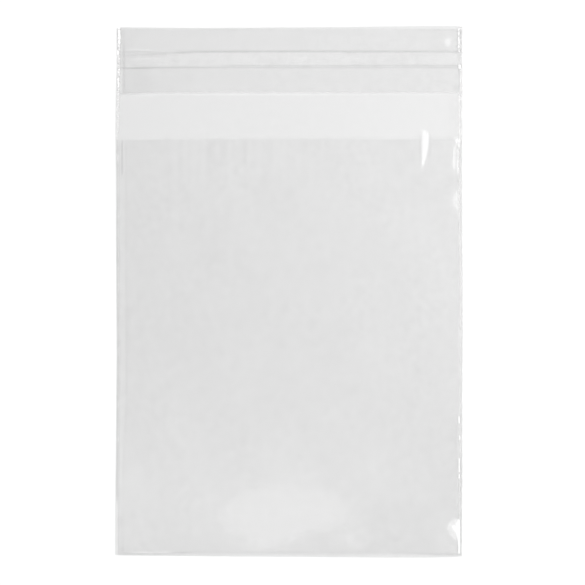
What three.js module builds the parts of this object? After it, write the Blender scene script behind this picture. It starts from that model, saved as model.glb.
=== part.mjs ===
// Clear film bag with a peel-and-stick lip, lying flat on its back panel with the lip open.
// Millimetres, +Z up. X runs across the bag, +Y runs from the folded bottom to the lip, and the
// origin is the middle of the underside.
//
// Three separate pieces:
//   bag_film        one sheet of film folded at the bottom, its two panels welded together along
//                   both sides, the back panel running on past the mouth as the lip
//   adhesive_strip  pressure-sensitive strip across the lip
//   release_liner   film strip that covers the adhesive until the bag is closed
import * as THREE from "three";

// ---- driving dimensions -------------------------------------------------------------------
const WIDTH = 125; // across the bag, over the side welds
const POCKET = 151; // folded bottom to mouth
const LIP = 40; // mouth to the free edge of the lip
const FILM = 0.04; // film thickness
const WELD = 1.5; // width of each side weld
const LIFT = 1.5; // how far trapped air holds the front panel off the back one, at most
const MOUTH_SHARE = 0.55; // share of LIFT that is left at the mouth
const WELD_GAP = 0.02; // height of the pocket where the panels run into the weld
const FOLD_ROUND = 0.04; // rounding of the bottom fold

const STRIP_TOP = 8.8; // lip edge to the near edge of the adhesive
const STRIP_WIDTH = 5.7;
const STRIP_THICK = 0.03;
const STRIP_INSET = 1.5; // the strip ends where the side welds begin

const LINER_WIDTH = 24; // measured down from the lip edge
const LINER_THICK = 0.04;
const LINER_INSET = 0.5; // the trimmed ends stop this short of the bag's sides
const LINER_STEP = 0.6; // how far from the adhesive the liner comes down onto the lip

// ---- places -------------------------------------------------------------------------------
const HALF = WIDTH / 2;
const LENGTH = POCKET + LIP;
const Y_FOLD = -LENGTH / 2;
const Y_MOUTH = Y_FOLD + POCKET;
const Y_EDGE = LENGTH / 2;

// ---- materials ----------------------------------------------------------------------------
const clearFilm = new THREE.MeshStandardMaterial({
  color: 0xeef0f0,
  roughness: 0.12,
  metalness: 0,
  transparent: true,
  opacity: 0.25,
});
const adhesive = new THREE.MeshStandardMaterial({
  color: 0xf1f1ee,
  roughness: 0.35,
  metalness: 0,
  transparent: true,
  opacity: 0.3,
});
const linerFilm = new THREE.MeshStandardMaterial({
  color: 0xe9eaea,
  roughness: 0.15,
  metalness: 0,
  transparent: true,
  opacity: 0.3,
});

// ---- the folded and welded film -----------------------------------------------------------
// Height of the pocket above the back panel at (x, y): a low pillow of trapped air that runs out
// to nothing at the welds and the fold, and stays a little open at the mouth.
function pocketHeight(x, y) {
  const across = Math.min(1, Math.abs(x) / (HALF - WELD));
  const along = Math.min(1, Math.max(0, (y - Y_FOLD) / POCKET));
  const acrossShare = Math.pow(1 - across * across, 0.7);
  const rise = Math.sin((Math.PI / 2) * Math.min(1, along / 0.45));
  const fall =
    along <= 0.45
      ? 1
      : MOUTH_SHARE +
        (1 - MOUTH_SHARE) * Math.cos((Math.PI / 2) * ((along - 0.45) / 0.55));
  return WELD_GAP + (LIFT - WELD_GAP) * acrossShare * rise * fall;
}

// The sheet is laid out on a lattice of columns (x), rows (y) and four levels: underside of the
// back panel, its upper face, underside of the front panel, and its upper face.
const halfColumns = [0, 13, 25, 36, 45, 52, 57, HALF - WELD, HALF];
const columns = [
  ...halfColumns
    .slice(1)
    .reverse()
    .map((x) => -x),
  ...halfColumns,
];
const rows = [
  0, 0.06, 3, 8, 16, 27, 40, 55, 71, 87, 103, 118, 131, 141, 147,
].map((d) => Y_FOLD + d);
rows.push(Y_MOUTH, Y_MOUTH + 16, Y_EDGE);
const mouthRow = rows.indexOf(Y_MOUTH);

const lastColumn = columns.length - 1;
const lastRow = rows.length - 1;

// True where a cell of the lattice is film. Level 0 is the back panel, level 1 the space between
// the panels, level 2 the front panel.
function isFilm(i, j, k) {
  if (i < 0 || i >= lastColumn || j < 0 || j >= lastRow || k < 0 || k > 2)
    return false;
  if (k === 0) return true;
  if (j >= mouthRow) return false;
  if (k === 2) return true;
  return i === 0 || i === lastColumn - 1 || j === 0;
}

function latticePoint(i, j, k) {
  const x = columns[i];
  const y = rows[j];
  const gap =
    i <= 1 || i >= lastColumn - 1 || j <= 1 ? WELD_GAP : pocketHeight(x, y);
  const z = [0, FILM, FILM + gap, 2 * FILM + gap][k];
  // the fold: the outermost corners are drawn in, so that the film turns round
  const drawnIn = j === 0 && (k === 0 || k === 3) ? FOLD_ROUND : 0;
  return [x, y + drawnIn, z];
}

function foldedFilm() {
  const ids = new Map();
  const positions = [];
  const index = [];
  const id = (i, j, k) => {
    const key = i + "," + j + "," + k;
    if (!ids.has(key)) {
      ids.set(key, positions.length / 3);
      positions.push(...latticePoint(i, j, k));
    }
    return ids.get(key);
  };
  const quad = (a, b, c, d) => index.push(a, b, c, a, c, d);
  for (let i = 0; i < lastColumn; i++)
    for (let j = 0; j < lastRow; j++)
      for (let k = 0; k < 3; k++) {
        if (!isFilm(i, j, k)) continue;
        if (!isFilm(i, j, k + 1))
          quad(
            id(i, j, k + 1),
            id(i + 1, j, k + 1),
            id(i + 1, j + 1, k + 1),
            id(i, j + 1, k + 1),
          );
        // the same diagonal as the face above it, so that the film keeps its thickness
        if (!isFilm(i, j, k - 1)) {
          const a = id(i, j, k);
          const b = id(i + 1, j, k);
          const c = id(i + 1, j + 1, k);
          const d = id(i, j + 1, k);
          index.push(a, c, b, a, d, c);
        }
        if (!isFilm(i - 1, j, k))
          quad(
            id(i, j, k),
            id(i, j, k + 1),
            id(i, j + 1, k + 1),
            id(i, j + 1, k),
          );
        if (!isFilm(i + 1, j, k))
          quad(
            id(i + 1, j, k),
            id(i + 1, j + 1, k),
            id(i + 1, j + 1, k + 1),
            id(i + 1, j, k + 1),
          );
        if (!isFilm(i, j - 1, k))
          quad(
            id(i, j, k),
            id(i + 1, j, k),
            id(i + 1, j, k + 1),
            id(i, j, k + 1),
          );
        if (!isFilm(i, j + 1, k))
          quad(
            id(i, j + 1, k),
            id(i, j + 1, k + 1),
            id(i + 1, j + 1, k + 1),
            id(i + 1, j + 1, k),
          );
      }
  const geometry = new THREE.BufferGeometry();
  geometry.setAttribute(
    "position",
    new THREE.Float32BufferAttribute(positions, 3),
  );
  geometry.setIndex(index);
  geometry.computeVertexNormals();
  return geometry;
}

const bagFilm = new THREE.Mesh(foldedFilm(), clearFilm);
bagFilm.name = "bag_film";

// ---- the adhesive across the lip ----------------------------------------------------------
// A flat strip whose corners are given directly, so that its underside lies on the film exactly.
function flatStrip(x0, x1, y0, y1, z0, z1) {
  const geometry = new THREE.BoxGeometry(1, 1, 1);
  const position = geometry.attributes.position;
  for (let n = 0; n < position.count; n++)
    position.setXYZ(
      n,
      position.getX(n) < 0 ? x0 : x1,
      position.getY(n) < 0 ? y0 : y1,
      position.getZ(n) < 0 ? z0 : z1,
    );
  return geometry;
}

const stripHigh = Y_EDGE - STRIP_TOP;
const adhesiveStrip = new THREE.Mesh(
  flatStrip(
    -HALF + STRIP_INSET,
    HALF - STRIP_INSET,
    stripHigh - STRIP_WIDTH,
    stripHigh,
    FILM,
    FILM + STRIP_THICK,
  ),
  adhesive,
);
adhesiveStrip.name = "adhesive_strip";

// ---- the release liner over it ------------------------------------------------------------
// Flat on the lip above and below the adhesive, and stepped up over it. The section is drawn in
// (y, z) and carried along x.
function steppedStrip(x0, x1, profile) {
  const outline = new THREE.Shape(profile.map(([y, z]) => new THREE.Vector2(y, z)));
  const geometry = new THREE.ExtrudeGeometry(outline, { depth: 1, bevelEnabled: false });
  // drawn x is the bag's y, drawn y its z, and the depth runs along its x
  const position = geometry.attributes.position;
  for (let n = 0; n < position.count; n++) {
    const y = position.getX(n);
    const z = position.getY(n);
    position.setXYZ(n, position.getZ(n) < 0.5 ? x0 : x1, y, z);
  }
  geometry.computeVertexNormals();
  return geometry;
}

const linerLow = Y_EDGE - LINER_WIDTH;
const linerHigh = Y_EDGE - 0.1;
const stripLow = stripHigh - STRIP_WIDTH;
const onLip = FILM;
const onStrip = FILM + STRIP_THICK;
const linerPath = [
  [linerLow, onLip],
  [stripLow - LINER_STEP, onLip],
  [stripLow, onStrip],
  [stripHigh, onStrip],
  [stripHigh + LINER_STEP, onLip],
  [linerHigh, onLip],
];
const releaseLiner = new THREE.Mesh(
  steppedStrip(-HALF + LINER_INSET, HALF - LINER_INSET, [
    ...linerPath,
    ...linerPath.map(([y, z]) => [y, z + LINER_THICK]).reverse(),
  ]),
  linerFilm,
);
releaseLiner.name = "release_liner";

const bag = new THREE.Group();
bag.name = "clear_bag";
bag.add(bagFilm, adhesiveStrip, releaseLiner);

export default bag;
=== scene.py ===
import math

import bpy
import numpy as np
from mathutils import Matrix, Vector


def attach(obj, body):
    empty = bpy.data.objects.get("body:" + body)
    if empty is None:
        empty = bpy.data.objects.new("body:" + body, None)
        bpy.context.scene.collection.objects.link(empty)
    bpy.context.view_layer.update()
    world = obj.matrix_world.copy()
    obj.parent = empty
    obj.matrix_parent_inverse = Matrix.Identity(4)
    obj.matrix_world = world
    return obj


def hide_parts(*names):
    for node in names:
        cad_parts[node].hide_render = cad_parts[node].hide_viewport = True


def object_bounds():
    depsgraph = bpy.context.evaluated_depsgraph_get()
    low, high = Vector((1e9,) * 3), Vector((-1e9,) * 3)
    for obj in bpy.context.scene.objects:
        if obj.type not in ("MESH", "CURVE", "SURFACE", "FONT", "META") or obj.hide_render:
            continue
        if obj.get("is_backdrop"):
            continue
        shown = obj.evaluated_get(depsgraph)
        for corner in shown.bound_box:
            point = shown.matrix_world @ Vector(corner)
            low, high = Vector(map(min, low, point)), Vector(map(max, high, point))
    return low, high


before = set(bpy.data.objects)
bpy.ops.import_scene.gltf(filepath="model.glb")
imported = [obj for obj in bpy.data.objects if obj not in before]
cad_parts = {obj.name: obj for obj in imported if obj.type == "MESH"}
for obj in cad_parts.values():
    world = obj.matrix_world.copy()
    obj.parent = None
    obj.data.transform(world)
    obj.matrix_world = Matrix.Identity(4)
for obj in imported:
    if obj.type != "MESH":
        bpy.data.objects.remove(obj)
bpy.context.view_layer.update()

MM = 0.001
PX = 2.768  # picture elements for each millimetre of the bag, seen from above
MID_X, MID_Y = 288.6, 291.6  # where the middle of the bag lies in the picture


def X(u):
    """Millimetres across the bag for a place in the picture."""
    return (np.asarray(u, float) - MID_X) / PX


def Y(v):
    """Millimetres along the bag for a place in the picture."""
    return (MID_Y - np.asarray(v, float)) / PX


def U(x):
    return np.asarray(x, float) * PX + MID_X


def V(y):
    return MID_Y - np.asarray(y, float) * PX


# ------------------------------------------------------------------ sizes, millimetres
FILM = 0.04
FOLD_Y = -95.5
MOUTH_Y = 55.5
LIP_Y = 95.5
HALF = 62.5
WELD = 1.5

# ------------------------------------------------------------------ the bag's outline
# The cut edges wander a little, as the hot knife leaves them.
_left = (
    Y([28, 60, 80, 100, 130, 180, 240, 280, 350, 420, 470, 500, 555])[::-1],
    X([116.3, 116.2, 115.6, 115.1, 114.8, 115.2, 115.4, 115.6, 116.0, 115.5, 115.1, 114.7, 114.4])[::-1],
)
_right = (
    Y([29, 220, 280, 340, 400, 480, 500, 555])[::-1],
    X([461.7, 461.8, 462.4, 462.4, 462.0, 462.0, 461.7, 461.7])[::-1],
)
_top = (X([117, 122, 190, 310, 370, 430, 461]), Y([27.4, 26.8, 27.5, 26.8, 26.2, 25.3, 25.6]))
_bottom = (
    X([115, 128, 150, 210, 290, 350, 390, 430, 453, 461]),
    Y([554.8, 555.0, 555.2, 555.9, 556.3, 556.8, 557.1, 557.1, 556.5, 556.0]),
)


def left_edge(y):
    return np.interp(y, *_left)


def right_edge(y):
    return np.interp(y, *_right)


def placed(xn, yn):
    """Carries a point of the nominal rectangle to the real outline."""
    s = (xn + HALF) / (2 * HALF)
    t = (yn - FOLD_Y) / (LIP_Y - FOLD_Y)
    low, high = np.interp(xn, *_bottom), np.interp(xn, *_top)
    y = low + t * (high - low)
    lo, hi = left_edge(y), right_edge(y)
    return lo + s * (hi - lo), y


# ------------------------------------------------------------------ smooth seeded noise
def wave_noise(seed, x, y, size, count=14, stretch=(1.0, 1.0)):
    """A sum of plane waves of about the given size, mostly between -1 and 1."""
    rng = np.random.default_rng(seed)
    out = np.zeros(np.broadcast(x, y).shape)
    for _ in range(count):
        a = rng.uniform(0, 2 * math.pi)
        k = 2 * math.pi / size * rng.uniform(0.6, 1.5)
        out = out + np.sin(
            k * (np.cos(a) * x / stretch[0] + np.sin(a) * y / stretch[1]) + rng.uniform(0, 2 * math.pi)
        )
    return out / math.sqrt(count)


def line_noise(seed, v, step):
    """Smooth random values from 0 to 1 along a line, with a knot every step."""
    rng = np.random.default_rng(seed)
    knots = rng.uniform(0, 1, 4000)
    at = np.asarray(v, float) / step + 1500.0
    i = np.floor(at).astype(int)
    f = at - i
    f = f * f * (3 - 2 * f)
    return knots[i] * (1 - f) + knots[i + 1] * f


def bump(v, centre, width):
    return np.exp(-(((v - centre) / width) ** 2))


def step(v, edge0, edge1):
    t = np.clip((v - edge0) / (edge1 - edge0), 0, 1)
    return t * t * (3 - 2 * t)


def within(v, low, high, soft=0.6):
    return step(v, low - soft, low + soft) * (1 - step(v, high - soft, high + soft))


# ------------------------------------------------------------------ lights' and camera's places
CAM = np.array([X(292.0), Y(292.0), 1200.0])
STRIP = np.array([520.0, 0.0, 1500.0])  # the middle of the long narrow light that creases catch


def half_normal(x, y, light=STRIP):
    """The slopes dz/dx and dz/dy with which a spot at (x, y) shows the light to a viewer above."""
    p = np.array([x, y, 0.0])
    a, b = CAM - p, light - p
    n = a / np.linalg.norm(a) + b / np.linalg.norm(b)
    return -n[0] / n[2], -n[1] / n[2]


CATCH = -half_normal(55.0, 50.0)[0]  # fall towards +X that catches the long light

# ------------------------------------------------------------------ heights
# A crease across the mouth, on the right: a sharp line from which the film runs down evenly to
# the right, as far as a curved foot.
SAIL_V = [129.3, 129.7, 130.6, 132.2, 134.5, 138, 143, 148, 152, 156, 160, 164, 167.8]
SAIL_WIDE = [0.0, 4.7, 5.2, 6.3, 7.0, 7.0, 6.7, 6.1, 5.4, 4.5, 3.4, 2.2, 0.0]
SAIL_X = float(X(421.3))


def sail(x, y):
    wide = np.interp(V(y), SAIL_V, SAIL_WIDE, left=0, right=0) / PX
    top = CATCH * wide
    right = top * np.clip(1 - (x - SAIL_X) / np.maximum(wide, 1e-6), 0, 1)
    left = top * np.clip(1 + (x - SAIL_X) / 2.6, 0, 1) ** 2
    return np.where(x >= SAIL_X, right, left)


# Facets in the front panel beside the right weld, where it comes down steeply to the weld. Each has
# its left and right edges along the bag, in picture elements, and how soft they are.
FACETS = [
    ([133, 138.2, 141, 144, 147.0], [451.5, 452.4, 454.2, 456.6, 459.6], [460.2] * 5, 0.7, 1.0),
    ([143, 146, 150, 160, 166.5, 170], [455.0, 453.2, 452.7, 452.0, 451.7, 454.0], [455.4, 455.4, 455.2, 454.9, 454.7, 454.6], 0.4, 0.8),
    ([187.5, 190.5, 194, 199, 204, 207.5, 211.5], [459.2, 456.0, 454.0, 452.4, 452.4, 454.9, 459.2], [460.2] * 7, 0.8, 0.8),
    (
        [517.8, 521, 524.3, 526.8, 529, 533, 539, 548, 556],
        [458.9, 456.8, 453.4, 450.8, 453.2, 456.0, 457.2, 457.6, 458.4],
        [460.4] * 9,
        0.7,
        0.8,
    ),
    ([517, 522, 527, 533, 541], [456.0, 448.0, 445.5, 448.5, 455.0], [457.0] * 5, 3.4, 1.0),
    ([145, 148, 172, 176], [458.8, 456.3, 456.5, 458.8], [459.2] * 4, 0.4, 0.8),
]


def catching(u, v, facets=FACETS):
    """How much of the catching slope the front panel has here, from 0 to 1."""
    most = np.zeros(np.broadcast(u, v).shape)
    for along, left, right, soft, ends in facets:
        lo, hi = np.interp(v, along, left), np.interp(v, along, right)
        share = within(v, along[0], along[-1], ends) * step(u, lo - soft, lo + soft)
        most = np.maximum(most, share * (1 - step(u, hi - soft, hi + soft)))
    return most


def steep(x, y):
    u, v = U(x), V(y)
    out = np.zeros(np.broadcast(u, v).shape)
    near = (u > 400) & (((v > 130) & (v < 174)) | ((v > 186) & (v < 213)) | (v > 512))
    if not near.any():
        return out
    un, vn = u[near], v[near]
    inner = U(right_edge(y[near])) - 1.4
    reach = np.zeros(un.shape)
    full = np.zeros(un.shape)
    cuts = 44
    for n in range(cuts):
        at = inner - (n + 0.5) * 0.5
        share = catching(at, vn) * 0.5
        reach = reach + share * np.clip((at - un) / 0.5 + 0.5, 0, 1)
        full = full + share
    start = inner - np.interp(vn, [130, 174, 186, 213, 508, 520], [11, 11, 9, 9, 18, 19])
    away = np.clip(start - un, 0, None)
    out[near] = CATCH / PX * reach * np.exp(-((away / 16.0) ** 2))
    return out


def back_height(x, y):
    """Middle of the back panel and lip: on the surface below, with slight waves."""
    rest = FILM / 2 + 0.02
    waves = 0.10 * np.maximum(1 + wave_noise(3, x, y, 60, stretch=(1, 1.6)) * 0.7, 0)
    lip = step(y, MOUTH_Y - 4, LIP_Y) * 0.12 * np.maximum(1 + wave_noise(5, x, y, 45) * 0.8, 0)
    corner = 0.14 * step(y, 78, 97) * (step(np.abs(x), 50, 63) ** 2)
    return rest + waves + lip + corner + sail(x, y)


def pocket(x, y):
    """How far the front panel stands off the back one."""
    across = np.clip(np.abs(x) / (HALF - WELD), 0, 1)
    along = np.clip((y - FOLD_Y) / (MOUTH_Y - FOLD_Y), 0, 1)
    share = (1 - across**2) ** 0.9
    rise = np.sin(np.pi / 2 * np.clip(along / 0.45, 0, 1))
    fall = np.where(along <= 0.45, 1, 0.14 + 0.86 * np.cos(np.pi / 2 * (along - 0.45) / 0.55))
    slack = share * rise * (0.13 - 0.08 * step(along, 0.8, 1.0)) * (1 + wave_noise(41, x, y, 24, stretch=(1.0, 1.7)))
    return 0.05 + 0.85 * share * rise * fall + np.maximum(slack, 0)


def front_height(x, y):
    return back_height(x, y) + FILM + pocket(x, y) + steep(x, y)


# ------------------------------------------------------------------ how clear each layer is
# Shares of the light that gets through a layer both ways, next to the plain film of that layer. They also hold painted
# shade and light: dark and pale lines and patches standing in for how the film bends, reflects and catches the light.
def painted_side_shade(u, v):
    """Painted shade: the film is drawn darker towards the left and lighter towards the right, with extra darkening by
    the left edge, most of all near the lip.
    """
    slope = np.interp(v, [30, 140, 200, 300, 370, 440, 500, 556], [0.038, 0.044, 0.05, 0.045, 0.032, 0.016, 0.004, 0.008])
    near = np.interp(v, [30, 95, 150, 230], [0.010, 0.008, 0.006, 0.0])
    return 1 + slope * (u - 290) / 165 - near * np.exp(-(u - 118) / 24)


def back_clear(u, v):
    # painted shade across the bag: darker at the left, lighter at the right
    m = painted_side_shade(u, v)
    # the lip's free edge shows paler where the liner stops short of it
    m = m * (1 - 0.02 * within(v, 96, 137, 3) * bump(u, 453, 6))
    # the light margin between the left weld and the liner's crease, and a painted highlight in the strip below the
    # liner, where its cut edge catches the light
    m = m * (1 + 0.10 * within(v, 44, 92, 1.5) * (1 - step(u, 120.0, 122.6)))
    m = m * (1 + np.interp(u, [125, 150, 230, 300, 340, 400], [0.0, 0.045, 0.085, 0.08, 0.05, 0.04]) * bump(v, 94.2, 1.1))
    m = m * (1 + 0.05 * (1 - step(u, 148, 160)) * bump(v, 97.2 - 0.06 * (u - 120), 1.2))
    # the pressed fold's rim, and a light line along it at the left
    m = m * (1 + 0.05 * step(v, 553.0, 555.2))
    m = m * (1 + 0.15 * within(u, 133, 168, 2.5) * bump(v, 551.9, 0.8))
    # painted light: the same pale place near the fold, drawn paler in the back panel
    m = m * (1 + 0.028 * painted_glow_place(u, v, X(u), Y(v)))
    # painted shade and light at the front panel's cut edge: faint dark lines on both sides of it and a faint pale line
    # along it
    m = m * (1 - np.interp(u, [150, 260, 330, 440], [0.0, 0.01, 0.022, 0.022]) * (bump(v, 136.0, 0.5) + bump(v, 138.1, 0.5)))
    m = m * (1 + 0.012 * step(u, 260, 330) * bump(v, 137.0, 0.5))
    # painted highlight: a light line along the adhesive's dipping upper edge
    m = m * (1 + 0.09 * bump(v, np.interp(u, [124, 140, 150, 160], [49.3, 49.0, 49.8, 51.0]), 0.7) * within(u, 126, 158, 3))
    # painted shade: dark lines beside the sail, where its crease bends the light
    m = m * (1 - 0.05 * within(v, 133, 158, 3) * (bump(u, 419.4, 0.8) + bump(u, 430.2 - 0.1 * np.abs(v - 142), 0.9)))
    return m


def front_clear(x, y):
    u, v = U(x), V(y)
    m = np.interp(
        v,
        [138, 150, 200, 250, 270, 330, 370, 420, 450, 500, 535, 545, 551, 556],
        [0.998, 1.002, 0.998, 0.990, 0.986, 0.981, 0.980, 0.980, 0.985, 0.993, 0.985, 0.975, 0.965, 0.98],
    )
    m = m - 0.012 * bump(v, 139.6, 0.7) * step(u, 240, 330) - 0.035 * bump(v, 139.5, 0.9) * step(u, 438, 441)
    m = m - 0.012 * (bump(v, 140.4, 0.6) + bump(v, 143.2, 0.6)) * step(u, 385, 395) * (1 - step(u, 407, 411))
    # painted light near the fold: a paler place standing in for a soft reflection of the light in the front panel,
    # with more lighter and darker patches painted around it
    m = m + 0.04 * painted_glow_place(u, v, x, y)
    m = m + 0.018 * bump(u, 134, 7) * within(v, 466, 494, 8)
    m = m + 0.012 * bump(u, 290, 90) * within(v, 440, 490, 20)
    m = m - 0.022 * step(u, 415, 440) * within(v, 420, 512, 15) - 0.018 * step(u, 350, 385) * (1 - step(u, 420, 440)) * within(v, 505, 551, 4)
    m = m + 0.034 * bump(u, 262, 38) * within(v, 512, 552, 8)
    # uneven film
    m = m + 0.006 * wave_noise(52, x, y, 26) + 0.007 * wave_noise(53, x, y, 7, stretch=(1, 1.4))
    m = m - 0.012 * bump(wave_noise(54, x, y, 15, stretch=(2.2, 1)), 0.0, 0.05)
    # beside the left weld: a paler margin with a faint dark line along it
    margin = np.interp(v, [140, 250, 400, 440, 480, 500], [124.5, 124.5, 125.0, 123.0, 121.5, 120.0])
    here = within(v, 141, 484, 8)
    m = m + here * 0.026 * within(u, 118.5, margin, 0.6) - here * 0.030 * bump(u, margin + 1.0, 0.9)
    # the dark spot at the foot of the left weld and the duller corner on the right
    m = m - 0.09 * bump(u, 122, 1.8) * bump(v, 548.5, 3.4)
    m = m - 0.026 * within(u, 119.5, 124.5, 1) * within(v, 512, 543, 5)
    m = m + 0.018 * bump(u, 449, 9) * bump(v, 545, 7)
    m = m + 0.028 * bump(u, 350, 12) * within(v, 530, 547, 3)
    # pressed fold: a dark line painted along it as shade of the fold's curve, with a paler strip just past it
    m = m - 0.03 * bump(u, 129, 6) * bump(v, 549.5, 3)
    dark_v = np.interp(u, [120, 165, 185, 350, 400, 430, 455], [553.0, 553.0, 551.6, 551.8, 551.6, 553.3, 554.0])
    deep = np.interp(u, [120, 165, 185, 290, 330, 400, 430, 456], [0.09, 0.03, 0.03, 0.04, 0.015, 0.045, 0.085, 0.12])
    m = m * (1 - deep * bump(v, dark_v, 1.0))
    m = m - 0.12 * bump(u, 183, 9) * bump(v, 552.0, 0.8) - 0.07 * within(u, 124, 172, 3) * bump(v, 553.4, 0.7)
    # painted shade: a dark line along the left weld below the mouth, the shade of a short crease
    m = m - 0.19 * bump(u, 121.6, 0.9) * within(v, 140, 174, 3)
    m = m + 0.03 * step(v, dark_v + 1.0, dark_v + 3.0)
    return m


# painted light: the pale place near the fold that stands in for a soft reflection, with a small leg on its right
def painted_glow_place(u, v, x, y):
    edge = 4 * wave_noise(51, x, y, 14)
    low = step(u + edge, 212, 236) * (1 - step(u + edge, 336, 360))
    head = np.interp(u, [225, 250, 285, 320, 350], [500, 492, 484, 491, 502])
    foot = np.interp(u, [225, 240, 252, 284, 300, 350], [527, 529, 543, 543, 530, 526])
    leg = 0.5 * bump(u, 353, 4) * within(v, 524, 546, 5)
    return low * step(v + edge, head - 13, head + 13) * (1 - step(v + 0.5 * edge, foot - 7, foot + 9)) + leg


def liner_clear(x, y):
    u, v = U(x), V(y)
    m = np.ones(np.broadcast(u, v).shape)
    m = m - 0.030 * np.exp(-(u - 123) / 24) * step(v, 65, 70)
    m = m + 0.045 * step(u, 450.5, 456) * (1 - step(v, 48, 51))
    # paler margin outside a painted dark line at the left end, the shade of the liner's ridge there
    left = within(v, 44, 92.5, 1.5)
    m = m + 0.035 * left * (1 - step(u, 121.6, 122.8))
    m = m - 0.075 * left * bump(u, 123.5, 1.2) * (0.75 + 0.5 * line_noise(71, y, 1.5))
    m = m - 0.03 * within(v, 28, 44, 2) * bump(u, 123.5, 1.2)
    # painted shade: dark lines along the liner's bends beside the adhesive, with faint pale lines beside them
    centre, deep = upper_bend(u)
    m = m - 1.45 * deep * bump(v, centre, 1.0)
    m = m + 0.018 * bump(v, centre + 2.6, 0.8) * step(u, 165, 205)
    m = m + 0.016 * bump(v, centre - 2.4, 0.8) * step(u, 165, 205) * (1 - step(u, 380, 410))
    west = 1 - step(u, 142, 168)
    m = m - west * 0.06 * bump(v, 51.4, 0.7)
    m = m - west * 0.03 * within(v, 50.5, 57, 1.2)
    m = m - 0.02 * step(u, 405, 430) * bump(v, 49.7, 0.7)
    m = m - 0.13 * bump(v, 65.1, 0.65) * step(u, 205, 240)
    centre, deep = lower_bend(u)
    m = m - 1.45 * deep * bump(v, centre, 0.85) + 0.022 * bump(v, 69.5, 0.7) * step(u, 200, 225) * (1 - step(u, 350, 380))
    # the free lower edge and the edge by the lip's own, with faint dark lines painted along them as shade of the cut
    # edges
    low = liner_low_v(u)
    m = m - 0.018 * bump(v, low - 0.9, 1.0) * (1 + 2.4 * (1 - step(u, 140, 165)))
    m = m - 0.030 * bump(u, 140, 9) * within(v, 69, 86, 4)
    m = m - 0.05 * np.exp(-(u - 123) / 24) * within(v, 55.5, 65.5, 0.8)
    m = m - 0.04 * step(u, 452, 455) * within(v, 84, 92.5, 1)
    m = m + 0.028 * within(v, 37, 47, 3) * within(u, 155, 285, 18) - 0.03 * step(u, 425, 442) * (1 - step(v, 50, 57))
    m = m - 0.03 * within(v, 54, 65, 2) * within(u, 362, 436, 12) - 0.035 * bump(u, 148, 12) * bump(v, 86, 5)
    top = liner_top_v(u)
    m = m - np.interp(u, [118, 180, 200, 260, 320, 395, 420, 456], [0.0, 0.0, 0.035, 0.03, 0.0, 0.0, 0.04, 0.055]) * bump(v, top + 0.6, 0.9)
    # dark flecks by the right end
    m = m - 0.15 * bump(u, 456.0, 0.9) * within(v, 30, 51, 1) * step(line_noise(72, y, 0.45), 0.45, 0.75)
    m = m + 0.006 * wave_noise(73, x, y, 16) + 0.004 * wave_noise(74, x, y, 6)
    return m


def upper_bend(u):
    """Place and depth of the painted dark line along the adhesive's upper edge, shade of the liner's bend there."""
    centre = np.interp(u, [124, 142, 152, 162, 176, 195, 300, 400, 455], [54.2, 54.0, 53.4, 53.0, 52.4, 51.4, 51.1, 51.2, 51.4])
    deep = np.interp(u, [118, 124, 150, 170, 190, 310, 350, 390, 415, 455], [0.02, 0.035, 0.08, 0.10, 0.14, 0.135, 0.14, 0.14, 0.135, 0.095])
    return centre, deep


def lower_bend(u):
    centre = np.interp(u, [120, 135, 150, 175, 200, 455], [67.3, 67.7, 67.2, 66.9, 66.9, 67.0])
    deep = np.interp(u, [118, 124, 142, 152, 200, 300, 350, 380, 455], [0.03, 0.155, 0.17, 0.15, 0.12, 0.086, 0.085, 0.085, 0.09])
    return centre, deep


def liner_low_v(u):
    return np.interp(u, [117, 124, 140, 152, 162, 175, 300, 461], [93.9, 93.7, 93.4, 93.1, 92.9, 92.6, 92.6, 92.6])


def liner_top_v(u):
    return np.interp(u, [117, 160, 200, 350, 400, 461], [28.4, 28.4, 28.3, 28.2, 28.6, 28.9])


# ------------------------------------------------------------------ mesh making
def add_mesh(name, points, faces, attributes, material):
    mesh = bpy.data.meshes.new(name)
    mesh.from_pydata([tuple(p) for p in (points * MM)], [], [tuple(f) for f in faces])
    mesh.polygons.foreach_set("use_smooth", [True] * len(mesh.polygons))
    for key, values in attributes.items():
        layer = mesh.attributes.new(key, "FLOAT", "POINT")
        layer.data.foreach_set("value", np.asarray(values, np.float32).ravel())
    mesh.set_sharp_from_angle(angle=math.radians(60))
    mesh.materials.append(material)
    mesh.validate()
    mesh.update()
    ob = bpy.data.objects.new(name, mesh)
    bpy.context.scene.collection.objects.link(ob)
    return ob


def thin_sheet(grid, thick):
    """A closed sheet round a grid of middle points, rows by columns by xyz. The first side is the
    one that the rows' direction crossed with the columns' direction points to."""
    rows, cols = grid.shape[:2]
    du = np.gradient(grid, axis=1)
    dv = np.gradient(grid, axis=0)
    n = np.cross(dv, du)
    n /= np.maximum(np.linalg.norm(n, axis=2, keepdims=True), 1e-12)
    a = (grid + n * thick / 2).reshape(-1, 3)
    b = (grid - n * thick / 2).reshape(-1, 3)
    points = np.concatenate([a, b])
    at = np.arange(rows * cols).reshape(rows, cols)
    off = rows * cols
    p, q, r, s = at[:-1, :-1], at[:-1, 1:], at[1:, 1:], at[1:, :-1]
    top = np.stack([p, s, r, q], -1).reshape(-1, 4)
    low = np.stack([p, q, r, s], -1).reshape(-1, 4) + off
    ring = np.concatenate([at[0, :-1], at[:-1, -1], at[-1, :0:-1], at[:0:-1, 0]])
    after = np.roll(ring, -1)
    rim = np.stack([ring, after, after + off, ring + off], -1)
    return points, np.concatenate([top, low, rim]), n


def sides(first, second=None):
    """A point attribute for the two sides of a thin sheet."""
    second = first if second is None else second
    return np.concatenate([np.asarray(first, float).reshape(-1), np.asarray(second, float).reshape(-1)])


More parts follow.
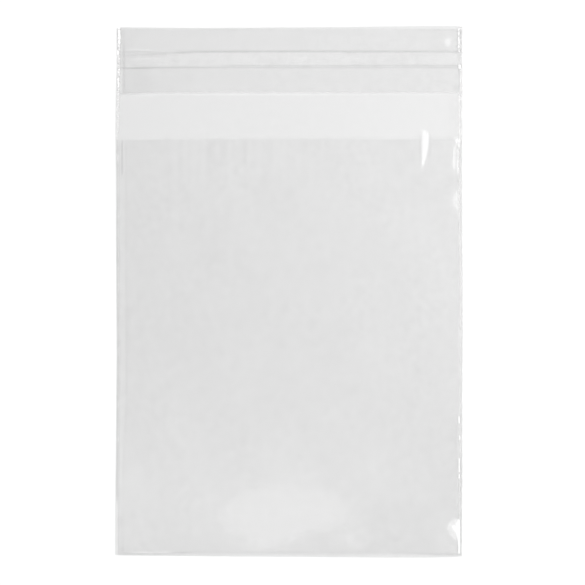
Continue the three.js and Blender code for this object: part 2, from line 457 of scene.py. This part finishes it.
def spaced(*runs):
    """Grid lines from (start, end, step) runs that meet end to end."""
    out = []
    for a, b, s in runs:
        n = max(1, int(round(abs(b - a) / s)))
        out.append(np.linspace(a, b, n + 1)[:-1])
    out.append(np.array([runs[-1][1]]))
    return np.concatenate(out)


# ------------------------------------------------------------------ materials
def new_material(name):
    m = bpy.data.materials.new(name)
    m.use_nodes = True
    m.node_tree.nodes.clear()
    return m, m.node_tree


def node(nt, kind, **settings):
    n = nt.nodes.new(kind)
    for key, value in settings.items():
        setattr(n, key, value)
    return n


def maths(nt, operation, *values):
    n = nt.nodes.new("ShaderNodeMath")
    n.operation = operation
    for into, value in zip(n.inputs, values, strict=False):
        if isinstance(value, (int, float)):
            into.default_value = value
        else:
            nt.links.new(value, into)
    return n.outputs[0]


def noise(nt, coords, scale, detail=2.0, stretch=None, roughness=0.5):
    if stretch is not None:
        mapping = nt.nodes.new("ShaderNodeMapping")
        mapping.inputs["Scale"].default_value = stretch
        nt.links.new(coords, mapping.inputs["Vector"])
        coords = mapping.outputs["Vector"]
    n = nt.nodes.new("ShaderNodeTexNoise")
    n.inputs["Scale"].default_value = scale
    n.inputs["Detail"].default_value = detail
    n.inputs["Roughness"].default_value = roughness
    nt.links.new(coords, n.inputs["Vector"])
    return n.outputs["Fac"]


def film_material(name, mirror, rough, mottle, relief_mm, striped=False):
    """Clear film. What is behind shows through, dimmed by the tint_and_shade attribute and a fine grain, under a
    mirror that grows towards the edge of sight. The tint_and_shade attribute holds the film's own tint and also
    painted shade and light. The frost_and_glint attribute turns it white and dull, for whitened film and for painted
    highlights, and the cling attribute takes the mirror away where two faces are stuck together."""
    m, nt = new_material(name)
    out = node(nt, "ShaderNodeOutputMaterial")
    coords = node(nt, "ShaderNodeTexCoord").outputs["Object"]
    tint_and_shade = node(nt, "ShaderNodeAttribute", attribute_name="tint_and_shade").outputs["Fac"]
    frost_and_glint = node(nt, "ShaderNodeAttribute", attribute_name="frost_and_glint").outputs["Fac"]
    cling = node(nt, "ShaderNodeAttribute", attribute_name="cling").outputs["Fac"]

    grain = noise(nt, coords, 400.0, 2.0, roughness=0.6)
    # the grain is stronger in some places than in others
    places = maths(nt, "MULTIPLY_ADD", noise(nt, coords, 60.0, 1.0), 5.0, -2.1)
    places = maths(nt, "MULTIPLY_ADD", maths(nt, "MAXIMUM", places, 0.0), 0.4 * mottle, 0.4 * mottle)
    uneven = maths(nt, "MULTIPLY_ADD", maths(nt, "SUBTRACT", grain, 0.5), places, 1.0)
    if striped:
        stripes = maths(nt, "SUBTRACT", noise(nt, coords, 1.0, 1.0, stretch=(430.0, 9.0, 1.0)), 0.5)
        amount = node(nt, "ShaderNodeAttribute", attribute_name="stripes").outputs["Fac"]
        uneven = maths(nt, "ADD", uneven, maths(nt, "MULTIPLY", stripes, amount))
    through = maths(nt, "MINIMUM", maths(nt, "MULTIPLY", tint_and_shade, uneven), 1.0)

    clear = node(nt, "ShaderNodeBsdfTransparent")
    nt.links.new(through, clear.inputs["Color"])
    haze = node(nt, "ShaderNodeBsdfDiffuse")
    haze.inputs["Color"].default_value = (0.93, 0.93, 0.93, 1)
    body = node(nt, "ShaderNodeMixShader")
    nt.links.new(frost_and_glint, body.inputs[0])
    nt.links.new(clear.outputs[0], body.inputs[1])
    nt.links.new(haze.outputs[0], body.inputs[2])

    gloss = node(nt, "ShaderNodeBsdfGlossy")
    gloss.inputs["Color"].default_value = (1, 1, 1, 1)
    dull = maths(nt, "MULTIPLY_ADD", cling, 0.09, rough - 0.02)
    nt.links.new(maths(nt, "MULTIPLY_ADD", grain, 0.04, dull), gloss.inputs["Roughness"])
    if relief_mm:
        ripple = noise(nt, coords, 240.0, 1.0)
        relief = node(nt, "ShaderNodeBump")
        relief.inputs["Strength"].default_value = 0.5
        relief.inputs["Distance"].default_value = relief_mm * MM
        nt.links.new(ripple, relief.inputs["Height"])
        nt.links.new(relief.outputs[0], gloss.inputs["Normal"])

    edge = node(nt, "ShaderNodeLayerWeight")
    edge.inputs["Blend"].default_value = 0.5
    share = maths(
        nt, "MULTIPLY_ADD", maths(nt, "POWER", edge.outputs["Facing"], 5.0), 1.0 - mirror, mirror
    )
    share = maths(nt, "MULTIPLY", share, maths(nt, "SUBTRACT", 1.0, cling))
    mix = node(nt, "ShaderNodeMixShader")
    nt.links.new(share, mix.inputs[0])
    nt.links.new(body.outputs[0], mix.inputs[1])
    nt.links.new(gloss.outputs[0], mix.inputs[2])
    nt.links.new(mix.outputs[0], out.inputs["Surface"])
    return m


film_mat = film_material("clear_film", 0.03, 0.08, 0.024, 0.02, striped=True)
liner_mat = film_material("liner_film", 0.025, 0.10, 0.026, 0.02)
tack_mat = film_material("adhesive", 0.02, 0.25, 0.03, 0)
weld_mat = film_material("weld", 0.04, 0.12, 0.06, 0)

T_BACK = 0.9530  # what each face of the back panel lets through
T_FRONT = 0.9950
T_LINER = 0.9980
T_TACK = 1.0

# ------------------------------------------------------------------ the folded film
INSET = 0.55  # the sheets run into the fused weld this far inside the outline

columns = spaced(
    (-HALF, -58.0, 0.28),
    (-58.0, -50, 1.2),
    (-50, -42, 2.0),
    (-42, 8, 1.6),
    (8, 38, 2.4),
    (38, 46.5, 1.0),
    (46.5, 51.6, 0.182),
    (51.6, 54.5, 0.5),
    (54.5, 58.4, 0.26),
    (58.4, HALF, 0.18),
)
front_rows = spaced(
    (FOLD_Y, -93.4, 0.17),
    (-93.4, -80, 0.36),
    (-80, 25, 2.6),
    (25, 54.6, 0.41),
    (54.6, 56.0, 0.13),
)
back_rows = spaced(
    (LIP_Y, 94.5, 0.25),
    (94.5, 88.8, 1.9),
    (88.8, 86.2, 0.26),
    (86.2, 72.4, 1.9),
    (72.4, 69.9, 0.31),
    (69.9, 59.8, 2.0),
    (59.8, 57.8, 0.15),
    (57.8, 43, 0.4),
    (43, 30, 1.6),
    (30, -90, 4.0),
    (-90, -93.6, 0.9),
    (-93.6, FOLD_Y, 0.2),
)


def film_grid():
    xn, back = np.meshgrid(columns * (HALF - INSET) / HALF, back_rows)
    bx, by = placed(xn, back)
    bz = back_height(bx, by)
    xf, front = np.meshgrid(columns * (HALF - INSET) / HALF, front_rows)
    fx, fy = placed(xf, front)
    # the mouth edge sags a little at the left end
    fy = fy - step(front, 50, 56) * (0.06 + 0.32 * np.exp(-(U(fx) - 118) / 26)) * (1 - 0.2 * wave_noise(43, fx, 0 * fx, 30))
    fz = front_height(fx, fy)
    # the fold: half a turn from the back panel up to the front one
    r = (fz[0] - bz[-1]) / 2
    turns = np.linspace(-90, -270, 9)[1:-1]
    fold = []
    for a in np.radians(turns):
        fold.append(
            np.stack([fx[0], fy[0] + r + r * np.cos(a), (fz[0] + bz[-1]) / 2 + r * np.sin(a)], -1)
        )
    back_grid = np.stack([bx, by, bz], -1)
    front_grid = np.stack([fx, fy, fz], -1)
    back_grid[-1, :, 1] += r
    front_grid[0, :, 1] += r
    keep_f = np.ones(len(front_grid), bool)
    keep_f[1:3] = front_grid[1:3, :, 1].min(axis=1) > front_grid[0, :, 1].max() + 0.05
    return np.concatenate([back_grid, np.array(fold), front_grid[keep_f]]), len(back_grid), len(fold)


grid, n_back, n_fold = film_grid()
gx, gy = grid[..., 0], grid[..., 1]
gu, gv = U(gx), V(gy)
is_front = np.zeros(gx.shape, bool)
is_front[n_back + n_fold :] = True
in_weld = np.clip(step(gu, 0, 1) * (1 - step(gu - U(left_edge(gy)), 3.2, 4.2)) + step(gu - U(right_edge(gy)), -4.9, -4.3), 0, 1)
through_back = T_BACK * np.clip(back_clear(gu, gv), 0.3, 1.3) ** 0.25
through_front = T_FRONT * np.clip(front_clear(gx, gy), 0.3, 1.02) ** 0.25
tint_and_shade = np.where(is_front, through_front, through_back)
tint_and_shade = tint_and_shade * (1 - in_weld) + in_weld
# the front panel lies close on the back one along the mouth; its cut edge gets a faint painted highlight, a pale line
# where the edge catches the light
mouth_v = 138.9 + 0.8 * (1 - step(gu, 138, 162)) - 1.6 * step(gu, 449, 453)
opened = np.where(is_front, step(gv, mouth_v - 0.3, mouth_v + 0.3), 1.0)
tint_and_shade = 1 - (1 - tint_and_shade) * opened
frost_and_glint = np.where(is_front, 0.012 * bump(gv, 137.2, 0.6) * step(gu, 145, 200), 0.0)
# painted light: the pale place near the fold is also drawn a little white
frost_and_glint = frost_and_glint + np.where(is_front, 0.10 * painted_glow_place(gu, gv, gx, gy), 0.0)
frost_and_glint = frost_and_glint * (1 - in_weld)


def glued(u, v):
    """Where the adhesive holds the liner to the lip."""
    upper, _ = upper_bend(u)
    return within(v, upper + 0.4, 65.6, 0.5) * within(u, 124, 457, 0.8)


# the places where the front panel's facets are dull
patch = within(gv, 187, 212, 1.5) * step(gu, 448, 452) * 0.54
streak = within(gv, 146, 176, 3) * step(gu, 449, 450) * 0.42
fan = within(gv, 136, 147, 1) * step(gu, 449, 451) * 0.55 * (1 - bump(gu, 458, 3.2) * bump(gv, 141.5, 3.6))
halo = 0.58 * catching(gu, gv, FACETS[4:5]) * (1 - catching(gu, gv, FACETS[3:4]))
cling_a = np.where(is_front, np.maximum(np.maximum(patch, streak), np.maximum(fan, halo)), 0.0)
cling_a = np.where(is_front, np.maximum(cling_a, 1 - opened), cling_a)
at_weld = np.clip(1 - step(gu - U(left_edge(gy)), 3.2, 4.2) + step(gu - U(right_edge(gy)), -4.3, -3.7), 0, 1)
cling_a = np.maximum(cling_a, at_weld)
cling_b = cling_a.copy()
# the first side of the grid is the one that looks up on the front panel and down on the back one
normal_up = thin_sheet(grid, FILM)[2][..., 2] > 0
sail_right = 421.3 + np.interp(gv, SAIL_V, SAIL_WIDE)
sheen = step(gu, 420.4, 421.2) * (1 - step(gu, sail_right + 0.4, sail_right + 1.4)) * within(gv, 128, 170, 1.0)
sheen = sheen * (0.52 + 0.16 * step(gv, 137.5, 139.5) - 0.12 * step(gv, 150, 158) + 0.14 * (1 - step(gu, 421.6, 423.4)) * (1 - step(gv, 148, 158)))
stuck = np.where(is_front, 0.0, glued(gu, gv))
cling_a = np.maximum(cling_a, sheen)
cling_b = np.maximum(cling_b, sheen)
cling_a = np.maximum(cling_a, np.where(normal_up, stuck, 0.0))
cling_b = np.maximum(cling_b, np.where(normal_up, 0.0, stuck))
# soft stripes that run down from the mouth
stripes = np.where(is_front, 0.035 * (1 - step(gv, 150, 205)) * step(gu, 150, 185) * (1 - step(gu, 300, 350)), 0.0) * opened
points, faces, _ = thin_sheet(grid, FILM)
film = add_mesh(
    "film",
    points,
    faces,
    {"tint_and_shade": sides(tint_and_shade), "frost_and_glint": sides(frost_and_glint), "cling": sides(cling_a, cling_b), "stripes": sides(stripes)},
    film_mat,
)

# ------------------------------------------------------------------ adhesive and liner
TACK = 0.03


def strip_bounds(x):
    """The adhesive's lower and upper edges at x: the upper one dips towards the left end."""
    return Y(66.0 + 0 * x), Y(upper_bend(U(x))[0] + 0.3)


columns_l = spaced(
    (float(X(123.2)), -56, 0.3), (-56, -38, 1.2), (-38, 52, 2.4), (52, 58, 1.0), (58, float(X(457.4)), 0.3)
)
sx, st = np.meshgrid(columns_l, np.linspace(0, 1, 12))
low, high = strip_bounds(sx)
sy = high + st * (low - high)
sz = back_height(sx, sy) + FILM / 2 + TACK / 2
points, faces, _ = thin_sheet(np.stack([sx, sy, sz], -1), TACK)
tack_tint = T_TACK * (1 - 0.01 * line_noise(24, sy, 1.3)) * (1 + 0.002 * wave_noise(23, sx, sy, 12))
tack = add_mesh(
    "adhesive",
    points,
    faces,
    {
        "tint_and_shade": sides(tack_tint),
        "frost_and_glint": sides(0.03 + 0.005 * wave_noise(25, sx, sy, 9)),
        "cling": sides(np.full(sx.shape, 0.95)),
    },
    tack_mat,
)


def liner_rise(x, y):
    """How far the liner stands off the lip: over the adhesive, with a slack fold on both sides."""
    low, high = strip_bounds(x)
    over = step(y, low - 0.9, low - 0.1) * (1 - step(y, high + 0.1, high + 0.9))
    return 0.02 + 0.05 * over + 0.03 * np.maximum(wave_noise(31, x, y, 18), 0)


ELLIPSE = (float(X(447.4)), float(Y(41.2)))


def dimple(x, y):
    """A shallow slanting dent in the liner near its upper right corner."""
    dx, dy = x - ELLIPSE[0], y - ELLIPSE[1]
    fall = -0.155 * dx * np.exp(-(((dx / 2.3) ** 2 + (dy / 2.2) ** 2) ** 3))
    return fall + 0.2 * np.exp(-((dx / 7.0) ** 2) - (dy / 4.5) ** 2)


liner_v = spaced((28.2, 31, 0.5), (31, 47, 1.0), (47, 58, 0.45), (58, 63.2, 1.3), (63.2, 71, 0.45), (71, 88.6, 2.2), (88.6, 92.6, 0.4))
columns_r = spaced(
    (-62.0, -57.5, 0.22), (-57.5, -36, 1.3), (-36, 50, 2.4), (50, 54.5, 0.8), (54.5, 62.0, 0.25)
)
lx, lvn = np.meshgrid(columns_r, liner_v)
lu = U(lx)
lv = lvn + (liner_low_v(lu) - 92.6) * step(lvn, 80, 92.6) + (liner_top_v(lu) - 28.2) * (1 - step(lvn, 28.2, 34))
ly = Y(lv)
lz = back_height(lx, ly) + FILM + liner_rise(lx, ly) + dimple(lx, ly)
liner_grid = np.stack([lx, ly, lz], -1)
points, faces, _ = thin_sheet(liner_grid, FILM)
edge_zone = np.clip((1 - step(lu, 118.2, 119.2)) + step(lu, 457.2, 458.0), 0, 1)
liner_tint_and_shade = T_LINER * np.clip(liner_clear(lx, ly), 0.3, 1.06) ** 0.25
liner_tint_and_shade = np.minimum(liner_tint_and_shade * (1 - edge_zone) + edge_zone, 1)
# painted highlight: the liner's cut lower edge is drawn white where it catches the light
liner_edge_glint = 0.14 * bump(lv, liner_low_v(lu), 0.9) * (1 - edge_zone)
dent = bump(lx, ELLIPSE[0], 3.0) * bump(ly, ELLIPSE[1], 3.6)
liner_cling = np.maximum(edge_zone, 0.5 * np.clip(dent * 2, 0, 1))
top_side_up = thin_sheet(liner_grid, FILM)[2][..., 2] > 0
under = np.maximum(liner_cling, glued(lu, lv))
liner = add_mesh(
    "liner",
    points,
    faces,
    {
        "tint_and_shade": sides(liner_tint_and_shade),
        "frost_and_glint": sides(liner_edge_glint),
        "cling": sides(np.where(top_side_up, liner_cling, under), np.where(top_side_up, under, liner_cling)),
    },
    liner_mat,
)

# ------------------------------------------------------------------ the fused side welds
WELD_STEP = 0.2
# Whitened stretches of the bead, and painted glints and sparkles where it catches the light: from, to, place and half
# width across the bead, strength, and how broken up they are. All but the last two are in picture elements, counted
# from the cut edge.
WHITENED_AND_GLINTS_LEFT = [
    (27.0, 43.6, 2.5, 1.2, 1.0, 0.45),
    (44.0, 49.6, 2.2, 0.7, 0.65, 0.6),
    (49.6, 54.8, 1.1, 1.0, 0.9, 0.5),
    (56.0, 66.5, 2.0, 0.9, 0.35, 0.7),
    (68.5, 74.8, 2.4, 0.8, 0.8, 0.5),
    (77.0, 86.8, 2.3, 0.9, 1.0, 0.35),
    (91.5, 95.5, 2.6, 0.8, 0.5, 0.5),
    (100.6, 103.6, 2.6, 0.9, 0.75, 0.4),
    (97.0, 137.0, 2.4, 1.0, 0.22, 0.8),
]
WHITENED_AND_GLINTS_RIGHT = [
    (27.5, 51.6, 3.3, 0.75, 0.95, 0.55),
    (27.5, 51.6, 3.3, 1.5, 0.25, 0.6),
    (52.0, 63.5, 3.5, 0.5, 0.16, 0.3),
    (64.0, 68.6, 2.6, 1.2, 1.0, 0.3),
    (68.6, 92.5, 1.6, 0.55, 0.5, 0.2),
    (93.0, 102.5, 3.0, 0.8, 0.65, 0.4),
    (102.0, 137.5, 3.0, 0.7, 0.55, 0.4),
    (127.0, 137.5, 2.9, 0.8, 0.6, 0.2),
    (137.0, 147.0, 3.4, 1.5, 0.9, 0.2),
    (147.0, 181.0, 3.9, 0.9, 0.32, 0.2),
    (180.0, 330.0, 2.7, 0.5, 0.30, 0.2),
    (330.0, 412.0, 2.5, 0.5, 0.10, 0.3),
    (422.0, 456.0, 2.7, 0.5, 0.18, 0.3),
    (478.0, 517.0, 2.7, 0.5, 0.24, 0.4),
    (190.0, 209.5, 4.6, 1.4, 0.3, 0.2),
    (415.5, 423.0, 3.5, 0.9, 0.9, 0.2),
    (435.0, 439.2, 3.0, 0.9, 0.95, 0.2),
    (457.5, 472.0, 3.3, 0.8, 0.9, 0.3),
    (472.8, 478.0, 3.3, 0.8, 0.9, 0.3),
    (483.8, 486.4, 2.4, 0.6, 0.5, 0.3),
    (497.0, 499.4, 3.0, 0.6, 0.25, 0.3),
    (518.5, 541.0, 3.5, 1.3, 1.0, 0.05),
    (540.0, 553.5, 3.1, 1.0, 1.0, 0.10),
]


def weld(name, side, seed, wide, white_and_glints):
    """A fused bead along one cut edge, lumpy and whitened where the knife has melted it, with painted glints and
    sparkles, and painted dark shade lines along it.
    """
    y = np.arange(FOLD_Y + 0.1, LIP_Y - 0.05, WELD_STEP)
    s = np.linspace(0, 1, 13)  # outer edge to inner edge
    S, Yn = np.meshgrid(s, y)
    _, py = placed(0 * Yn + side * HALF, Yn)
    edge = left_edge(py) if side < 0 else right_edge(py)
    px = edge - side * S * wide
    v = V(py)
    q = S * wide * PX
    lumpy = 0.25 + 0.75 * step(py, MOUTH_Y - 1, MOUTH_Y + 1)
    sway = 0.5 * (line_noise(seed + 7, py, 1.1) - 0.5) + 0.3 * (line_noise(seed + 8, py, 0.45) - 0.5)
    sway = sway * lumpy
    lump = line_noise(seed, py, 0.55) * line_noise(seed + 1, py, 1.7) * lumpy
    lean = (line_noise(seed + 2, py, 0.8) - 0.5) * 0.25 * lumpy
    crest = np.exp(-(((S - 0.42 - lean) / 0.22) ** 2))
    double = step(-py, -MOUTH_Y, -MOUTH_Y + 1) + step(py, float(Y(93.2)) - 0.5, float(Y(93.2)) + 0.5)
    height = 0.05 + 0.06 * double + (0.05 + 0.16 * lump) * crest * (0.45 + 0.55 * double)
    under = back_height(px, py) - FILM / 2
    zt = 0.005 + height * (0.35 + 0.65 * np.sin(np.pi * np.clip(S, 0.04, 0.96)) ** 0.5) + under
    zb = 0.005 + under * 0.4
    rows, cols = px.shape
    top = np.stack([px, py, zt], -1).reshape(-1, 3)
    low = np.stack([px, py, zb], -1).reshape(-1, 3)
    at = np.arange(rows * cols).reshape(rows, cols)
    off = rows * cols
    a, b, c, d = at[:-1, :-1], at[:-1, 1:], at[1:, 1:], at[1:, :-1]
    up = np.stack([a, b, c, d], -1).reshape(-1, 4)
    down = np.stack([a, d, c, b], -1).reshape(-1, 4) + off
    ring = np.concatenate([at[0, :-1], at[:-1, -1], at[-1, :0:-1], at[:0:-1, 0]])
    after = np.roll(ring, -1)
    rim = np.stack([ring, ring + off, after + off, after], -1)
    faces = np.concatenate([up, down, rim])
    if side > 0:
        faces = faces[:, ::-1]

    frost_and_glint = np.zeros(px.shape)
    for number, (v0, v1, centre, half, strength, broken) in enumerate(white_and_glints):
        along = within(v, v0, v1, 0.5)
        across = 1 - step(np.abs(q - centre - sway), half * 0.75, half * 1.25)
        spots = step(line_noise(seed + 20 + number, py, 0.62), 0.25, 0.6)
        frost_and_glint = np.maximum(frost_and_glint, strength * along * across * (1 - broken + broken * spots))
    liner_run = within(v, 27, 93, 1)
    # Tones across the bead, from the cut edge in. The darker lines in them and in dark are painted shade, standing in
    # for the shade of the bead's curved edges.
    if side < 0:
        grey = np.interp(q, [0, 0.6, 1.3, 2.0, 3.0, 4.0], [0.80, 0.80, 0.77, 0.79, 0.82, 0.87])
        body = np.interp(q, [0, 0.6, 1.5, 2.3, 3.2, 4.0], [0.79, 0.74, 0.64, 0.70, 0.755, 0.80])
        body = body * (1 + 0.07 * bump(q, 1.0, 0.6) * within(v, 140, 212, 8))
        bead = np.interp(q, [0, 0.6, 1.2, 2.0, 3.0, 4.0], [0.80, 0.79, 0.80, 0.81, 0.81, 0.80])
        foot = step(v, 492, 506)
        body = body * (1 - foot) + foot * np.interp(q, [0, 0.8, 1.8, 2.6, 4.0], [0.84, 0.79, 0.78, 0.80, 0.76])
        dark = within(v, 28, 72, 1) * bump(q, 1.1, 0.6) * step(line_noise(seed + 3, py, 0.7), 0.45, 0.7) * 0.16
        dark = dark + 0.2 * bump(q, 2.2, 1.0) * (bump(v, 75.8, 0.9) + bump(v, 89.6, 1.0))
        dark = dark + 0.05 * within(v, 140, 500, 4) * bump(q, 1.6, 0.7) * step(line_noise(seed + 4, py, 1.4), 0.4, 0.8)
    else:
        grey = np.interp(q, [0, 0.6, 1.5, 2.4, 3.5, 4.4], [0.75, 0.76, 0.79, 0.85, 0.86, 0.85])
        body = np.interp(q, [0, 0.6, 1.5, 2.4, 3.5, 4.4], [0.75, 0.73, 0.71, 0.77, 0.79, 0.80])
        bead = np.interp(q, [0, 0.6, 1.5, 2.4, 3.5, 4.4], [0.72, 0.74, 0.78, 0.81, 0.80, 0.80])
        dark = within(v, 28, 51, 1) * bump(q, 1.6, 0.6) * step(line_noise(seed + 3, py, 0.45), 0.4, 0.7) * 0.22
        dark = dark + 0.07 * within(v, 456, 526, 3) * bump(q, 1.5, 0.6)
        dark = dark + 0.10 * within(v, 466, 517, 2) * bump(q, 4.4, 0.5) * step(line_noise(seed + 5, py, 0.9), 0.2, 0.6)
        dark = dark + 0.08 * bump(q, 5.4, 1.0) * bump(v, 30.5, 1.2)
        dark = dark + 0.03 * within(v, 256, 300, 3) * bump(q, 3.6, 0.5)
        dark = dark + 0.07 * within(v, 52, 63.5, 0.8) * (bump(q, 4.3, 0.5) + bump(q, 2.4, 0.5))
    on_body = step(v, 137.5, 139.5)
    want = grey * (1 - on_body) + body * on_body
    want = want * (1 - liner_run) + bead * liner_run
    want = want * (1 - dark)
    if side > 0:
        want = want * (1 + 0.03 * step(v, 150, 180) * (1 - step(v, 330, 420)) - 0.02 * step(v, 420, 470))
    tint_and_shade = np.clip((want - 0.04) / (1.05 * 0.866), 0.2, 1.0) ** 0.25
    return add_mesh(
        name,
        np.concatenate([top, low]),
        faces,
        {"tint_and_shade": sides(tint_and_shade), "frost_and_glint": sides(frost_and_glint), "cling": sides(0.0 * frost_and_glint)},
        weld_mat,
    )


weld_left = weld("weld_left", -1, 101, 1.45, WHITENED_AND_GLINTS_LEFT)
weld_right = weld("weld_right", 1, 201, 1.6, WHITENED_AND_GLINTS_RIGHT)

# ------------------------------------------------------------------ riding and replacing
for piece in (film, tack, liner, weld_left, weld_right):
    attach(piece, "root")
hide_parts("bag_film")
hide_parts("adhesive_strip")
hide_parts("release_liner")

# ------------------------------------------------------------------ floor, world and lights
floor_mesh = bpy.data.meshes.new("floor")
floor_mesh.from_pydata([(-6, -6, 0), (6, -6, 0), (6, 6, 0), (-6, 6, 0)], [], [(0, 1, 2, 3)])
floor = bpy.data.objects.new("floor", floor_mesh)
floor.location.z = -0.00002
bpy.context.scene.collection.objects.link(floor)
fmat, fnt = new_material("floor_white")
fout = node(fnt, "ShaderNodeOutputMaterial")
fdif = node(fnt, "ShaderNodeBsdfDiffuse")
fdif.inputs["Color"].default_value = (0.86, 0.86, 0.86, 1)
fnt.links.new(fdif.outputs[0], fout.inputs["Surface"])
floor_mesh.materials.append(fmat)
floor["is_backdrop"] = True

world = bpy.data.worlds.new("studio")
bpy.context.scene.world = world
world.use_nodes = True
wnt = world.node_tree
wnt.nodes.clear()
wout = node(wnt, "ShaderNodeOutputWorld")
back = node(wnt, "ShaderNodeBackground")
back.inputs["Color"].default_value = (0.48, 0.48, 0.48, 1)
back.inputs["Strength"].default_value = 1.0
wnt.links.new(back.outputs[0], wout.inputs["Surface"])


def area(name, place, aim, wide, deep, radiance):
    data = bpy.data.lights.new(name, "AREA")
    data.shape = "RECTANGLE"
    data.size = wide
    data.size_y = deep
    data.energy = radiance * math.pi * wide * deep
    ob = bpy.data.objects.new(name, data)
    ob.location = place
    ob.rotation_mode = "QUATERNION"
    ob.rotation_quaternion = (Vector(aim) - Vector(place)).to_track_quat("-Z", "Y")
    bpy.context.scene.collection.objects.link(ob)
    return ob


area("soft_right", (1.7, 0.1, 1.35), (0, 0, 0), 1.2, 1.2, 3.4)
area("soft_left", (-1.7, -0.1, 1.35), (0, 0, 0), 1.2, 1.2, 3.0)
area("soft_back", (0.0, 1.8, 1.35), (0, 0, 0), 1.2, 1.2, 3.0)
area("soft_front", (0.0, -1.8, 1.35), (0, 0, 0), 1.2, 1.2, 3.0)
# the long narrow light lies along the bag
area("long_light", tuple(STRIP * MM), (0, 0, 0), 0.9, 0.2, 5.0)

# ------------------------------------------------------------------ camera
cam_data = bpy.data.cameras.new("camera")
cam = bpy.data.objects.new("camera", cam_data)
cam_data.sensor_width = 36.0
cam_data.lens = 36.0 * (CAM[2] * MM) / (585 / PX * MM)
cam_data.clip_start = 0.01
cam_data.clip_end = 50
cam_data.dof.use_dof = False
cam.location = tuple(CAM * MM)
cam.rotation_euler = (0, 0, 0)
bpy.context.scene.collection.objects.link(cam)
bpy.context.scene.camera = cam

bpy.context.scene.view_settings.view_transform = "Standard"
bpy.context.scene.view_settings.look = "None"
bpy.context.scene.cycles.transparent_max_bounces = 32

# ------------------------------------------------------------------ bounds of the shown pieces
low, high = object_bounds()
